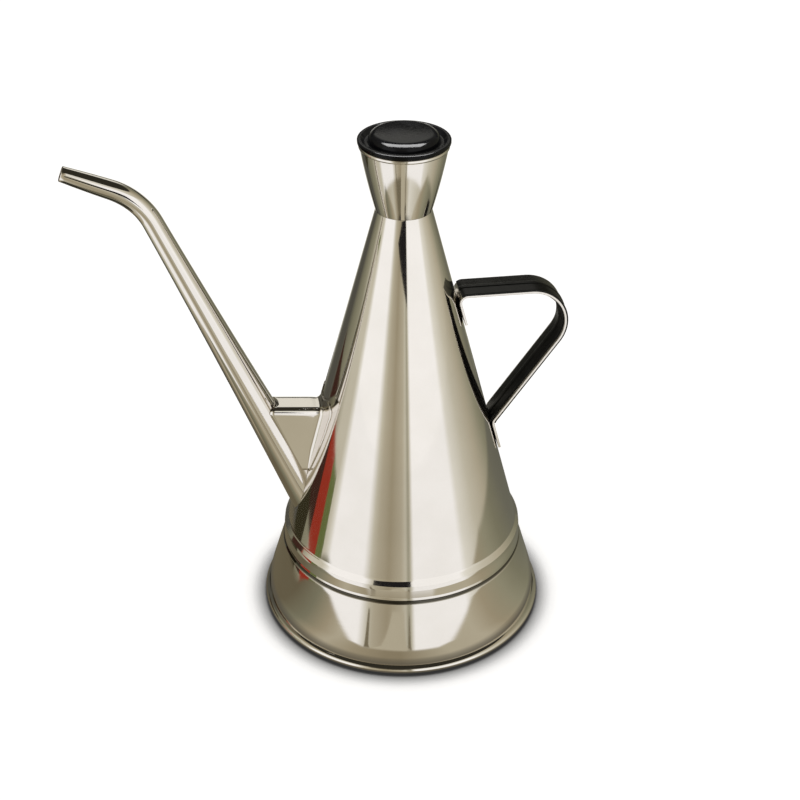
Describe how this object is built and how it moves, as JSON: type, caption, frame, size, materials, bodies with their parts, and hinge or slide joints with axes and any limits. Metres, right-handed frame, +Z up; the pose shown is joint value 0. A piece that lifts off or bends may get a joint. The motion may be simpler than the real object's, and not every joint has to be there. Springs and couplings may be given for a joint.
{
  "type": "oil cruet",
  "caption": "Conical polished steel oil cruet with a flared foot, a long tapered spout bent at its tip, a strap handle with black covers and a lift-off black stopper",
  "frame": {"origin": "on the vessel's vertical axis, at the flat underside of the base pan that it stands on", "axes": "+Z up along the vessel's axis, spout towards -X, handle towards +X, the XZ plane is the plane of symmetry"},
  "size_m": [0.2102, 0.13, 0.2328],
  "materials": {
    "polished_steel": "polished, slightly warm",
    "base_steel": "satin",
    "strap_steel": "satin",
    "black_cover": "semi gloss",
    "black_stopper": "gloss"
  },
  "bodies": {
    "vessel": {"body_cone": "polished_steel", "foot_skirt": "polished_steel", "base_pan": "base_steel", "filler_cup": "polished_steel", "spout_tube": "polished_steel", "spout_brace": "polished_steel", "handle_strap": "strap_steel", "handle_cover_outer": "black_cover", "handle_cover_inner": "black_cover"},
    "stopper": {"stopper": "black_stopper"}
  },
  "joints": [
    {"name": "stopper_lift", "type": "slide", "parent": "vessel", "child": "stopper", "axis": [0, 0, 1], "range_m": [0, 0.04]}
  ]
}
